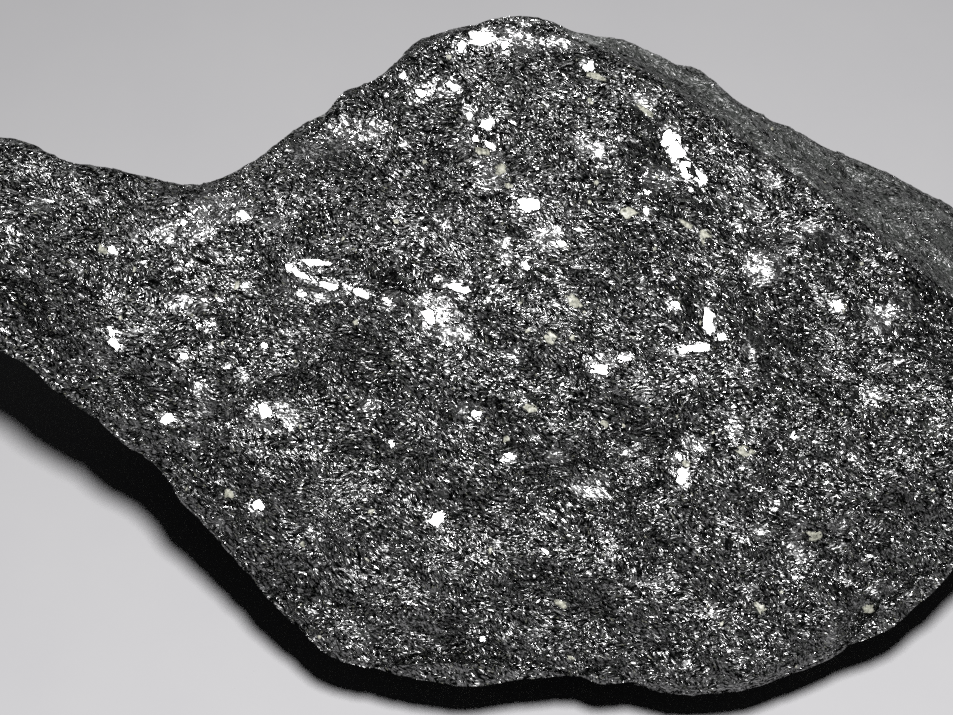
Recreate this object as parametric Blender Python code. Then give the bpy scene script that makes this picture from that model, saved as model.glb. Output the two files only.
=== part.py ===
"""Amphibolite hand specimen: one broken piece of dark foliated rock, resting on its underside.

The stone is a loft. Its sections are closed curves through nine rails that run from its left tip to its right tip:
the lower girth, three rails up the broad broken face, the crest, the back ridge, the back and two rails of the
underside. The rails are set out square to the broad face (along, up the face, out of the face) and turned to stand.
Relief is then raised on it as the rock breaks: broad swells, ledges where sheets of the foliation end, and chips.
"""

from math import cos, pi, radians, sin, sqrt

import bmesh
import bpy
import numpy as np

MM = 0.001

# The stone is 100 mm long, the size of a hand specimen. Lengths are in millimetres until the mesh is made.
FACE_TILT = radians(60)  # how far the direction out of the broad face is raised above level
FOOTPRINT_MIDDLE = (-0.10, -9.92)  # where the middle of the stone's box comes before it is moved to the origin

# One row for each section, left tip to right tip. Each triple is (along, up the face, out of the face).
# Dome: how far the middle of the broad face stands above the line from girth to crest.
# Underside: its height above the table. Below 0 the stone is cut flat there, and rests on the cut.
SECTIONS = (
    # lower girth         crest                 back ridge            dome underside
    ((-49.3, 6.4, 31.0), (-49.2, 12.4, 30.0), (-49.0, 11.6, 26.0), 0.6, 24.0),
    ((-46.6, 3.8, 31.0), (-46.0, 16.4, 29.5), (-46.0, 15.2, 23.0), 1.2, 20.0),
    ((-41.8, 1.2, 30.8), (-41.7, 18.0, 29.0), (-41.0, 16.8, 21.0), 2.0, 16.0),
    ((-36.0, -1.6, 30.2), (-33.0, 15.0, 29.0), (-33.0, 13.8, 20.0), 2.4, 11.5),
    ((-29.0, -7.6, 29.1), (-25.2, 13.0, 29.0), (-25.0, 12.0, 19.0), 2.6, 4.0),
    ((-22.0, -15.8, 28.6), (-17.6, 18.2, 28.5), (-17.5, 17.0, 18.0), 2.8, -2.0),
    ((-14.0, -24.4, 28.5), (-8.6, 25.5, 28.0), (-8.6, 24.2, 17.0), 3.0, -3.4),
    ((-5.0, -27.9, 28.9), (0.4, 28.5, 27.5), (0.4, 27.8, 16.0), 3.2, -3.4),
    ((5.5, -26.4, 28.5), (9.0, 26.0, 27.5), (9.4, 26.4, 14.5), 3.2, -3.4),
    ((16.0, -26.2, 28.0), (19.0, 20.4, 27.0), (19.0, 22.9, 13.0), 3.0, -3.4),
    ((27.5, -24.2, 27.4), (28.6, 12.9, 26.5), (28.6, 19.8, 12.0), 2.6, -2.4),
    ((37.7, -19.2, 26.5), (37.8, 5.8, 25.0), (37.8, 14.6, 11.5), 2.2, 1.5),
    ((44.8, -12.2, 24.5), (44.6, 1.0, 23.0), (45.0, 8.6, 12.5), 1.6, 6.0),
    ((48.6, -7.0, 21.5), (48.4, -1.4, 20.5), (48.8, 2.4, 15.0), 0.6, 10.0),
)
LEFT_TIP = (-50.0, 9.4, 28.0)
RIGHT_TIP = (49.8, -2.6, 18.0)
FACE_RAILS = ((0.14, 0.72), (0.50, 1.00), (0.84, 0.75))  # share of the way up the face, share of the dome
BACK_BULGE, BACK_HEIGHT = 0.02, 0.45  # shares of the stone's depth, and of its height behind
HEEL_INSET = 0.10  # how far the underside stops short of the back, as a share of the depth
TOE_INSET, TOE_UNDERCUT = 0.26, 0.72  # the same in front, or this share of the height of the girth above it
TOE_RISE = 0.08  # how far the toe stands above the underside, as a share of that height

ALONG, AROUND = 70, 70  # the grid of the surface: steps from tip to tip, and round each section

# Relief: how wide each kind is, and how far it stands out or lies in.
SWELL_WIDTH, SWELL_HEIGHT = 26.0, 0.7
LUMP_WIDTH, LUMP_HEIGHT = 8.0, 0.32
SHEET_THICKNESS, LEDGE_HEIGHT = 5.0, 1.3  # the foliation's sheets, and the ledges where they end
LEDGE_ON_FACE = 0.2  # the share of that height on a surface that runs along the sheets
SHEET_WAVE_WIDTH, SHEET_WAVE = 22.0, 0.35  # how the sheets undulate, the second as a share of their thickness
LEDGE_DROP = 0.22  # the share of a sheet's thickness in which the surface drops to the next
SHEET_LEAN = (0.10, 0.16, 1.0)  # the direction across the sheets: along, up the face, out of the face
CHIP_SIZES = ((9.0, 1.9), (4.8, 1.0))  # fracture faces: how wide they are, and how deep for their width
CHIP_LEAN, CHIP_TOP = 0.25, 0.57  # how much they lean, and where their ridges are worn flat, as shares of that depth
RIB = ((-17.5, 8.4), (-5.8, 3.3), (-1.7, 0.0), (4.6, -6.2))  # a low rib over the broad face: along, up the face
RIB_HEIGHT, RIB_WIDTH = 0.7, 2.6
RIB_ABOVE = 22.0  # only the broad face lies this far out
TIP_SHARE = 0.5  # the relief fades towards the two tips, where the sine along the stone is under this


def to_stand(place):
    """Points or directions set out square to the broad face, turned so that the face leans back on the table."""
    along, up, out = np.moveaxis(np.asarray(place, float), -1, 0)
    return np.stack([
        along,
        up * sin(FACE_TILT) - out * cos(FACE_TILT),
        up * cos(FACE_TILT) + out * sin(FACE_TILT),
    ], axis=-1)


def rails():
    """The control net: for each section nine points, from the lower girth over the face and down the back."""
    girth, crest, ridge = (np.array([row[i] for row in SECTIONS]) for i in range(3))
    dome, under = (np.array([row[i] for row in SECTIONS]) for i in (3, 4))
    face = []
    for share, lift in FACE_RAILS:
        rail = girth + share * (crest - girth)
        rail[:, 2] += lift * dome
        face.append(to_stand(rail))
    front, rear = to_stand(girth), to_stand(ridge)
    depth = rear[:, 1] - front[:, 1]
    back, heel, toe = rear.copy(), rear.copy(), front.copy()
    back[:, 1] += BACK_BULGE * depth
    back[:, 2] = under + BACK_HEIGHT * (rear[:, 2] - under)
    heel[:, 1] -= HEEL_INSET * depth
    heel[:, 2] = under
    toe[:, 1] += np.maximum(TOE_INSET * depth, TOE_UNDERCUT * (front[:, 2] - under))
    toe[:, 2] = under + TOE_RISE * (front[:, 2] - under)
    net = np.stack([front, *face, to_stand(crest), rear, back, heel, toe], axis=1)
    ends = [np.broadcast_to(to_stand(tip), net[:1].shape) for tip in (LEFT_TIP, RIGHT_TIP)]
    return np.concatenate([ends[0], net, ends[1]])


def curve_through(rows, at, closed):
    """A Catmull-Rom curve through rows of points, read at each place in at, which counts in rows."""
    start = np.floor(at).astype(int)
    if not closed:
        start = np.minimum(start, len(rows) - 2)
    step = (at - start)[:, None, None]
    near = [start + k for k in (-1, 0, 1, 2)]
    a, b, c, d = (rows[k % len(rows) if closed else np.clip(k, 0, len(rows) - 1)] for k in near)
    return 0.5 * (2 * b + (c - a) * step + (2 * a - 5 * b + 4 * c - d) * step**2 + (3 * b - a - 3 * c + d) * step**3)


def smooth_form(along, around):
    """The stone before its relief: points at shares along from tip to tip and shares around from the girth."""
    net = rails()
    lengthwise = curve_through(net, along * (len(net) - 1), closed=False)
    loops = curve_through(lengthwise.transpose(1, 0, 2), around * net.shape[1], closed=True)
    return loops.transpose(1, 0, 2)


def outward(points):
    """The direction out of the surface at each point of the grid, from its neighbours along and around."""
    along = np.gradient(points, axis=0)
    around = np.roll(points, -1, axis=1) - np.roll(points, 1, axis=1)
    across = np.cross(along, around)
    return across / np.maximum(np.linalg.norm(across, axis=-1, keepdims=True), 1e-9)


def waves(points, width, seed, count=16):
    """Aimless relief, mostly from -1 to 1: a sum of plane waves that run in random directions."""
    chance = np.random.default_rng(seed)
    ways = chance.normal(size=(count, 3))
    ways *= (2 * pi / width) / np.linalg.norm(ways, axis=1, keepdims=True) * chance.uniform(0.6, 1.4, (count, 1))
    return np.sin(points @ ways.T + chance.uniform(0, 2 * pi, count)).sum(-1) / sqrt(count)


def chance_of(cell, salt):
    """A repeatable random number from 0 to 1 for each cell of a lattice."""
    mixed = np.sin(cell @ np.array([127.1, 311.7, 74.7]) + 53.3 * salt) * 43758.5453
    return mixed - np.floor(mixed)


def chips(points, width, depth):
    """Fracture faces: shallow hollows round centres scattered one to a cube, each leaning its own way. The lowest
    of the hollows is the surface, so two of them meet in a ridge, and the highest ridges are worn flat."""
    scaled = points / width
    home = np.floor(scaled)
    lowest = np.full(points.shape[:-1], CHIP_TOP)
    for shift in np.ndindex(3, 3, 3):
        cell = home + np.array(shift) - 1
        centre = cell + np.stack([chance_of(cell, k) for k in (1, 2, 3)], axis=-1)
        slope = np.stack([chance_of(cell, k) for k in (4, 5, 6)], axis=-1) * 2 - 1
        away = scaled - centre
        lowest = np.minimum(lowest, (away**2).sum(-1) + CHIP_LEAN * (away * slope).sum(-1))
    return depth * (lowest - CHIP_TOP / 2)


def ledges(points, out):
    """Steps where sheets of the foliation end: a slow rise through each sheet, then a short drop to the next.
    They fade where the surface runs along the sheets."""
    across = to_stand(np.array(SHEET_LEAN) / np.linalg.norm(SHEET_LEAN))
    sheet = (points @ across) / SHEET_THICKNESS + SHEET_WAVE * waves(points, SHEET_WAVE_WIDTH, seed=5)
    share = sheet - np.floor(sheet)
    rise = np.minimum(share / (1 - LEDGE_DROP), (1 - share) / LEDGE_DROP)
    steep = 1 - (out @ across) ** 2
    return LEDGE_HEIGHT * (rise - 0.5) * (LEDGE_ON_FACE + (1 - LEDGE_ON_FACE) * steep)


def rib(points):
    """A low rib along a broken line over the broad face, and a bell curve across it."""
    along = points[..., 0]
    up = points[..., 1] * sin(FACE_TILT) + points[..., 2] * cos(FACE_TILT)
    out = -points[..., 1] * cos(FACE_TILT) + points[..., 2] * sin(FACE_TILT)
    nearest = np.full(along.shape, np.inf)
    for start, end in zip(RIB, RIB[1:]):
        run, rise = end[0] - start[0], end[1] - start[1]
        share = ((along - start[0]) * run + (up - start[1]) * rise) / (run**2 + rise**2)
        share = np.clip(share, 0, 1)
        gap = (along - start[0] - share * run) ** 2 + (up - start[1] - share * rise) ** 2
        nearest = np.minimum(nearest, gap)
    return RIB_HEIGHT * np.exp(-nearest / RIB_WIDTH**2) * (out > RIB_ABOVE)


def stone_surface(count_along, count_around):
    """The grid of points on the broken surface, in millimetres, standing on the table at its place."""
    along = np.linspace(0, 1, count_along + 1)
    around = np.arange(count_around) / count_around
    points = smooth_form(along, around)
    out = outward(points)
    relief = SWELL_HEIGHT * waves(points, SWELL_WIDTH, seed=1)
    relief += LUMP_HEIGHT * waves(points, LUMP_WIDTH, seed=2)
    relief += ledges(points, out) + rib(points)
    for width, depth in CHIP_SIZES:
        relief += chips(points, width, depth)
    tapered = np.minimum(1, np.sin(pi * along) / TIP_SHARE)[:, None]
    points = points + out * (relief * tapered)[..., None]
    return points - np.array([*FOOTPRINT_MIDDLE, 0.0])


def make_material():
    material = bpy.data.materials.new("amphibolite")
    material.use_nodes = True
    shader = material.node_tree.nodes["Principled BSDF"]
    shader.inputs["Base Color"].default_value = (0.045, 0.046, 0.047, 1)
    shader.inputs["Roughness"].default_value = 0.42
    shader.inputs["Metallic"].default_value = 0.0
    return material


def make_stone():
    """A sphere with its poles on the stone's two tips, each vertex carried to its place on the surface, then cut
    flat where it rests."""
    surface = stone_surface(ALONG, AROUND) * MM
    mesh = bmesh.new()
    bmesh.ops.create_uvsphere(mesh, u_segments=AROUND, v_segments=ALONG, radius=1)
    for vertex in mesh.verts:
        x, y, z = vertex.co
        row = round(np.arccos(np.clip(-z, -1, 1)) / pi * ALONG)
        column = round(np.arctan2(-x, y) / (2 * pi) * AROUND) % AROUND
        vertex.co = surface[row, column]
    table = bmesh.ops.bisect_plane(
        mesh, geom=mesh.verts[:] + mesh.edges[:] + mesh.faces[:], dist=1e-6,
        plane_co=(0, 0, 0), plane_no=(0, 0, -1), clear_outer=True)
    rim = [item for item in table["geom_cut"] if isinstance(item, bmesh.types.BMEdge)]
    bmesh.ops.holes_fill(mesh, edges=rim, sides=0)
    bmesh.ops.recalc_face_normals(mesh, faces=mesh.faces[:])
    data = bpy.data.meshes.new("amphibolite_stone")
    mesh.to_mesh(data)
    mesh.free()
    data.shade_smooth()
    data.set_sharp_from_angle(angle=radians(35))
    data.materials.append(make_material())
    return bpy.data.objects.new("amphibolite_stone", data)


def main():
    for old in list(bpy.data.objects):
        bpy.data.objects.remove(old)
    parts = bpy.data.collections.new("amphibolite")
    bpy.context.scene.collection.children.link(parts)
    parts.objects.link(make_stone())


main()
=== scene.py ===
from math import cos, pi, radians, sin, sqrt

import bpy
import numpy as np
from mathutils import Matrix, Vector


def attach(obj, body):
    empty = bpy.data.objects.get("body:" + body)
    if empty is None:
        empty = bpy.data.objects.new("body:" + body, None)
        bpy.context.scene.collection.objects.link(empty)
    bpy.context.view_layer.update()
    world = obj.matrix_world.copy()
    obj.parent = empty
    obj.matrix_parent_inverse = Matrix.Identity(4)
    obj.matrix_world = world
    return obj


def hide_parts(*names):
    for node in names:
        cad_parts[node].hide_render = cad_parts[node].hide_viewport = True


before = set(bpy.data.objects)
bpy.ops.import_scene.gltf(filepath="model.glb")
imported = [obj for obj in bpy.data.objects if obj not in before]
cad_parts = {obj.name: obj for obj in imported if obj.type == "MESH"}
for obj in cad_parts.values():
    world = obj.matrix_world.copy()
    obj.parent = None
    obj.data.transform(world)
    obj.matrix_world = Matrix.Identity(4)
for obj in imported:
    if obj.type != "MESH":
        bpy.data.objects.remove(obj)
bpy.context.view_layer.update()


# ---------------------------------------------------------------- the table, the lamps and the camera
# The stone lies on pale matt paper. One small lamp a little above the line of sight, as a flash is, makes its
# crystals glint and drops a short hard shadow in front of it. A wide lamp behind keeps its back readable.

MM = 0.001
FACE_TILT = radians(60)  # how far the direction out of the stone's broad face is raised above level
PICTURE_WIDTH = 79.4  # millimetres across the picture, at the broad face
CAMERA_AWAY = 400.0  # from the broad face
SENSOR = 36.0
FOOTPRINT = np.array([-0.10, -9.92, 0.0])  # the middle of the stone's box, which is moved over the origin
PICTURE_MIDDLE = (-1.96, 0.21, 29.0)  # along, up the broad face and out of it
PAPER_HALF = 4.0  # metres from the paper's middle to its edge
MOTTLE_WIDTH = 50 / 3
PAPER_GLOW = (0.07, 0.26, 0.50)  # metres from the stone where it sets in and is full, and how bright it is
FLASH_PLACE, FLASH_AIM = (15, -104, 315), (12, -56, 0)
FLASH_RADIUS = 16.0
BEHIND_PLACE = (-250, 760, 430)
SKY_LIGHT, SKY_SEEN = 0.01, 0.52  # how bright the sky is as a light, and as what is seen behind the paper


def linear(hex_colour):
    """The linear colour of an sRGB hex value: each channel below 0.04045 over 12.92, the rest by the 2.4
    power."""
    srgb = [int(hex_colour[k:k + 2], 16) / 255 for k in (1, 3, 5)]
    return (*(c / 12.92 if c <= 0.04045 else ((c + 0.055) / 1.055) ** 2.4 for c in srgb), 1.0)


def to_stand(place):
    """Points or directions set out square to the broad face (along, up the face, out of it), turned by the
    face's tilt about the long axis, so that the face leans back on the table."""
    along, up, out = np.moveaxis(np.asarray(place, float), -1, 0)
    return np.stack([
        along,
        up * sin(FACE_TILT) - out * cos(FACE_TILT),
        up * cos(FACE_TILT) + out * sin(FACE_TILT),
    ], axis=-1)


def add_node(tree, kind, settings=None, **links):
    """Adds a shader node, gives it its settings and fills its inputs, each from a value or from another
    node's output. An input is named in words with _ for a space, or as input_ and its number. The setting
    tones holds a colour ramp's stops: the place of each, from 0 to 1, and its hex colour."""
    node = tree.nodes.new(kind)
    for name, value in (settings or {}).items():
        if name != "tones":
            setattr(node, name, value)
            continue
        stops = node.color_ramp.elements
        stops.remove(stops[1])
        stops[0].position, stops[0].color = value[0][0], linear(value[0][1])
        for position, colour in value[1:]:
            stops.new(position).color = linear(colour)
    for name, value in links.items():
        socket = node.inputs[int(name[6:]) if name.startswith("input_") else name.replace("_", " ")]
        if isinstance(value, bpy.types.NodeSocket):
            tree.links.new(value, socket)
        else:
            socket.default_value = value
    return node


def new_material(name):
    """An empty material, with its tree and a Principled shader on its output."""
    material = bpy.data.materials.new(name)
    material.use_nodes = True
    tree = material.node_tree
    return material, tree, tree.nodes["Principled BSDF"]


def aim(thing, place, target):
    """Puts a lamp or the camera at a place in millimetres and turns it to look at the target."""
    place, target = Vector(place) * MM, Vector(target) * MM
    turned = (target - place).to_track_quat("-Z", "Y").to_matrix().to_4x4()
    thing.matrix_world = Matrix.Translation(place) @ turned
    bpy.context.scene.collection.objects.link(thing)


def make_paper():
    """The paper: one large square, level with the stone's underside, faintly mottled. It glows softly away
    from the stone, where the flash hardly reaches, so that it is pale from every side."""
    corners = [(x * PAPER_HALF, y * PAPER_HALF, 0) for x, y in ((-1, -1), (1, -1), (1, 1), (-1, 1))]
    mesh = bpy.data.meshes.new("paper")
    mesh.from_pydata(corners, [], [(0, 1, 2, 3)])
    material, tree, shader = new_material("matt paper")
    place = add_node(tree, "ShaderNodeTexCoord").outputs["Object"]
    mottle = add_node(tree, "ShaderNodeTexNoise", Vector=place, Scale=1 / (MOTTLE_WIDTH * MM), Detail=6.0,
                      Roughness=0.6)
    tint = add_node(tree, "ShaderNodeMix", {"data_type": "RGBA"}, Factor=mottle.outputs["Fac"],
                    input_6=linear("#d6d5d8"), input_7=linear("#deddde"))
    tree.links.new(tint.outputs[2], shader.inputs["Base Color"])
    shader.inputs["Roughness"].default_value = 0.9
    shader.inputs["Specular IOR Level"].default_value = 0.1
    away = add_node(tree, "ShaderNodeVectorMath", {"operation": "LENGTH"}, input_0=place).outputs["Value"]
    glow = add_node(tree, "ShaderNodeMapRange", {"interpolation_type": "SMOOTHSTEP"}, Value=away,
                    From_Min=PAPER_GLOW[0], From_Max=PAPER_GLOW[1], To_Max=PAPER_GLOW[2])
    shader.inputs["Emission Color"].default_value = linear("#f4f4f6")
    tree.links.new(glow.outputs[0], shader.inputs["Emission Strength"])
    mesh.materials.append(material)
    paper = bpy.data.objects.new("paper", mesh)
    bpy.context.scene.collection.objects.link(paper)
    return paper


def make_lamps(paper):
    """The flash, whose beam is strongest a little below the stone; the wide lamp behind, whose light the
    paper is kept out of, so that the flash's shadow stays dark; and the sky."""
    flash = bpy.data.lights.new("flash", "SPOT")
    flash.energy = 4.15
    flash.shadow_soft_size = FLASH_RADIUS * MM
    flash.spot_size, flash.spot_blend = radians(80), 1.0
    aim(bpy.data.objects.new("flash", flash), FLASH_PLACE, FLASH_AIM)
    behind = bpy.data.lights.new("lamp_behind", "SUN")
    behind.angle = radians(40)
    behind.energy = 0.9
    lamp = bpy.data.objects.new("lamp_behind", behind)
    aim(lamp, BEHIND_PLACE, (0, 0, 0))
    lit = bpy.data.collections.new("lit_from_behind")
    lit.objects.link(paper)
    lit.collection_objects[0].light_linking.link_state = "EXCLUDE"
    lamp.light_linking.receiver_collection = lit
    sky = bpy.data.worlds.new("sky")
    sky.use_nodes = True
    glow = sky.node_tree.nodes["Background"]
    glow.inputs["Color"].default_value = linear("#f4f5f8")
    seen = add_node(sky.node_tree, "ShaderNodeLightPath").outputs["Is Camera Ray"]
    strength = add_node(sky.node_tree, "ShaderNodeMapRange", Value=seen, To_Min=SKY_LIGHT, To_Max=SKY_SEEN)
    sky.node_tree.links.new(strength.outputs[0], glow.inputs["Strength"])
    bpy.context.scene.world = sky


def make_camera():
    """The camera looks straight at the broad face, with a lens long enough to keep its outline flat."""
    data = bpy.data.cameras.new("camera")
    data.sensor_width = SENSOR
    data.lens = SENSOR * CAMERA_AWAY / PICTURE_WIDTH
    data.clip_start, data.clip_end = 0.01, 10.0
    camera = bpy.data.objects.new("camera", data)
    along, up, out = PICTURE_MIDDLE
    aim(camera, to_stand((along, up, out + CAMERA_AWAY)) - FOOTPRINT, to_stand(PICTURE_MIDDLE) - FOOTPRINT)
    bpy.context.scene.camera = camera


make_lamps(make_paper())
make_camera()
bpy.context.scene.view_settings.view_transform = "Standard"
bpy.context.scene.cycles.use_denoising = False  # it would smear the grain of the crystals
bpy.context.scene.cycles.caustics_reflective = False  # their glints would speckle the shadow


# ---------------------------------------------------------------- the stone's broken surface
# One piece of rock, broken off along and across its foliation. Its form is a loft through fifteen rails; on
# it stand swells, the ledges where sheets of the foliation end, chips, and the grain of the crystals below.

# One row for each section, left tip to right tip. Each triple is (along, up the face, out of the face).
SECTIONS = (
    # lower girth         crest                 back ridge            dome underside
    ((-49.3, 6.4, 31.0), (-49.2, 12.4, 30.0), (-49.0, 11.6, 26.0), 0.6, 24.0),
    ((-46.6, 4.6, 31.0), (-46.0, 16.4, 29.5), (-46.0, 15.0, 23.0), 1.4, 20.0),
    ((-41.8, 3.2, 30.8), (-41.7, 18.3, 29.0), (-41.0, 16.8, 21.0), 2.0, 16.0),
    ((-36.0, -2.6, 30.2), (-33.0, 15.8, 29.0), (-33.0, 14.4, 20.0), 2.4, 11.5),
    ((-29.0, -8.3, 29.1), (-25.2, 12.5, 29.0), (-25.0, 11.4, 19.0), 2.6, 4.0),
    ((-22.0, -16.5, 28.6), (-17.6, 18.6, 28.5), (-17.5, 17.0, 18.0), 2.8, -2.0),
    ((-14.0, -24.4, 28.5), (-8.6, 25.3, 28.0), (-8.6, 23.6, 17.0), 3.0, -3.4),
    ((-5.0, -26.0, 28.9), (0.4, 29.2, 27.5), (0.4, 27.8, 16.0), 3.2, -3.4),
    ((5.5, -26.2, 28.5), (9.0, 25.7, 27.5), (9.4, 26.7, 14.5), 3.2, -3.4),
    ((16.0, -26.9, 28.0), (19.0, 19.7, 27.0), (20.2, 23.1, 13.0), 3.0, -3.4),
    ((27.5, -24.5, 27.4), (28.6, 12.6, 26.5), (28.6, 19.1, 12.0), 2.7, -2.4),
    ((37.7, -17.4, 26.5), (37.8, 6.4, 25.0), (37.8, 13.9, 11.5), 2.3, 1.5),
    ((44.8, -11.6, 24.5), (44.6, 1.4, 23.0), (45.0, 8.8, 12.5), 1.8, 6.0),
    ((48.6, -7.0, 21.5), (48.4, -1.4, 20.5), (48.8, 2.4, 15.0), 0.6, 10.0),
)
LEFT_TIP = (-50.0, 9.4, 28.0)
RIGHT_TIP = (49.8, -2.6, 18.0)
# Share of the way up the face, and share of the dome. The first and last two keep the girth and the crest
# sharp.
FACE_RAILS = (
    (0.015, 0.13), (0.05, 0.28), (0.18, 0.60), (0.38, 0.92), (0.55, 1.00), (0.78, 0.60), (0.93, 0.19),
)
SHOULDER = (0.22, 0.0, 0.22)  # share of the way from crest to ridge: along, up and out of the face
# The back, the heel and the toe, as shares of the stone's depth and of the height above its underside.
BACK_BULGE, BACK_HEIGHT = 0.02, 0.45
HEEL_INSET = 0.10
TOE_INSET, TOE_UNDERCUT, TOE_RISE = 0.26, 0.72, 0.08
CHIN = 0.10  # share of the way from the girth to the toe below it
CREST_RAIL, TOE_RAIL = 8, 13  # counted round from the girth

ALONG, AROUND = 292, 336  # steps from tip to tip and round each section, about 0.4 mm each

WAVE_SPREAD = (0.6, 1.4)  # each wave's frequency, as a multiple of the one that the width given stands for
SWELL_WIDTH, SWELL_HEIGHT = 26.0, 0.7
LUMP_WIDTH, LUMP_HEIGHT = 8.0, 0.32
SHEET_WAVE_WIDTH, SHEET_WAVE = 22.0, 0.35
LEDGE_DROP = 0.22
LEDGES = ((5.0, 1.0, 0.2), (1.4, 0.22, 0.15))  # sheet thickness, ledge height, its share on the broad face
SHEET_LEAN = (0.10, 0.16, 1.0)  # the direction across the sheets: along, up the face, out of the face
CHIP_SIZES = ((9.0, 1.0), (4.8, 0.45), (2.1, 0.20), (1.0, 0.10))  # fracture faces: how wide and how deep
CHIP_LEAN, CHIP_TOP = 0.25, 0.57
RIB = ((-17.5, 8.4), (-5.8, 3.3), (-1.7, 0.0), (4.6, -6.2))  # its line: along and up the face
RIB_HEIGHT, RIB_WIDTH = 0.7, 2.6
FACE_OUT = 22.0  # what stands out further than this belongs to the broad face
GRAIN_WIDTH, GRAIN_HEIGHT, GRAIN_JITTER = 1.2, 0.03, 0.022
TIP_SHARE = 0.5  # the relief is full where the sine of the way along the stone has come to this
WEATHERED_FROM = (1.0, 7.0)  # along the stone: from here to there the weathered edge climbs to the crest
WEATHERED_RAILS = (CREST_RAIL + 2.1, CREST_RAIL + 0.1)  # where it sets in before and after that climb
WEATHERED_EASE = (0.9, 0.7)  # rails over which it sets in, and over which it ends
LINEATION_TURN = radians(-27)
LINEATION = to_stand((cos(LINEATION_TURN), sin(LINEATION_TURN), 0.0))  # the way the crystals lie
ACROSS_SHEETS = to_stand(np.array(SHEET_LEAN) / np.linalg.norm(SHEET_LEAN))


def unit(vectors):
    """The direction of each vector: the vector over its own length."""
    return vectors / np.maximum(np.linalg.norm(vectors, axis=-1, keepdims=True), 1e-9)


def from_stand(points):
    """How far points of the leaning stone lie along, up and out of the broad face: the reverse of
    to_stand."""
    up = points[..., 1] * sin(FACE_TILT) + points[..., 2] * cos(FACE_TILT)
    out = -points[..., 1] * cos(FACE_TILT) + points[..., 2] * sin(FACE_TILT)
    return points[..., 0], up, out


def rails():
    """The control net: for each section fifteen points, from the lower girth over the face and down the
    back."""
    girth, crest, ridge = (np.array([row[i] for row in SECTIONS]) for i in range(3))
    dome, under = (np.array([row[i] for row in SECTIONS]) for i in (3, 4))
    face = []
    for share, lift in FACE_RAILS:
        rail = girth + share * (crest - girth)
        rail[:, 2] += lift * dome
        face.append(to_stand(rail))
    front, rear = to_stand(girth), to_stand(ridge)
    depth = rear[:, 1] - front[:, 1]
    shoulder = to_stand(crest + np.array(SHOULDER) * (ridge - crest))
    back, heel, toe = rear.copy(), rear.copy(), front.copy()
    back[:, 1] += BACK_BULGE * depth
    back[:, 2] = under + BACK_HEIGHT * (rear[:, 2] - under)
    heel[:, 1] -= HEEL_INSET * depth
    heel[:, 2] = under
    toe[:, 1] += np.maximum(TOE_INSET * depth, TOE_UNDERCUT * (front[:, 2] - under))
    toe[:, 2] = under + TOE_RISE * (front[:, 2] - under)
    chin = front + CHIN * (toe - front)
    net = np.stack([front, *face, to_stand(crest), shoulder, rear, back, heel, toe, chin], axis=1)
    ends = [np.broadcast_to(to_stand(tip), net[:1].shape) for tip in (LEFT_TIP, RIGHT_TIP)]
    return np.concatenate([ends[0], net, ends[1]])


def curve_through(rows, at, closed):
    """A Catmull-Rom curve through rows of points, read at each place in at, which counts in rows."""
    start = np.floor(at).astype(int)
    if not closed:
        start = np.minimum(start, len(rows) - 2)
    step = (at - start)[:, None, None]
    near = [start + k for k in (-1, 0, 1, 2)]
    a, b, c, d = (rows[k % len(rows) if closed else np.clip(k, 0, len(rows) - 1)] for k in near)
    straight, bent, twisted = c - a, 2 * a - 5 * b + 4 * c - d, 3 * b - a - 3 * c + d
    return 0.5 * (2 * b + straight * step + bent * step**2 + twisted * step**3)


def evenly(net, count, closed):
    """Places on the net's rows, in rows, that lie evenly by the rows' mean distance from each other."""
    gaps = np.linalg.norm(np.diff(net, axis=0, append=net[:1] if closed else net[-1:]), axis=-1).mean(axis=1)
    reach = np.concatenate([[0], np.cumsum(gaps if closed else gaps[:-1])])
    wanted = np.linspace(0, reach[-1], count + 1)
    places = np.interp(wanted, reach, np.arange(len(reach)))
    return places[:-1] if closed else places


def outward(points):
    """The direction out of the surface at each point of the grid: the cross product of its steps along and
    around."""
    along = np.gradient(points, axis=0)
    around = np.roll(points, -1, axis=1) - np.roll(points, 1, axis=1)
    return unit(np.cross(along, around))


def waves(points, width, seed, count=16):
    """Aimless relief, mostly from -1 to 1: a sum of plane waves that run in random directions."""
    chance = np.random.default_rng(seed)
    ways = chance.normal(size=(count, 3))
    lengths = np.linalg.norm(ways, axis=1, keepdims=True)
    ways *= (2 * pi / width) / lengths * chance.uniform(*WAVE_SPREAD, (count, 1))
    return np.sin(points @ ways.T + chance.uniform(0, 2 * pi, count)).sum(-1) / sqrt(count)


def chance_of(cell, salt):
    """A repeatable random number from 0 to 1 for each cell of a lattice: the far digits of a sine."""
    mixed = np.sin(cell @ np.array([127.1, 311.7, 74.7]) + 53.3 * salt) * 43758.5453
    return mixed - np.floor(mixed)


def chips(points, width, depth):
    """Fracture faces: shallow hollows round centres scattered one to a cube, each leaning its own way. The
    lowest of the hollows is the surface, so two of them meet in a ridge, and the highest ridges are worn
    flat."""
    scaled = points / width
    home = np.floor(scaled)
    lowest = np.full(points.shape[:-1], CHIP_TOP)
    for shift in np.ndindex(3, 3, 3):
        cell = home + np.array(shift) - 1
        centre = cell + np.stack([chance_of(cell, k) for k in (1, 2, 3)], axis=-1)
        slope = np.stack([chance_of(cell, k) for k in (4, 5, 6)], axis=-1) * 2 - 1
        away = scaled - centre
        lowest = np.minimum(lowest, (away**2).sum(-1) + CHIP_LEAN * (away * slope).sum(-1))
    return depth * (lowest - CHIP_TOP / 2)


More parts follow.
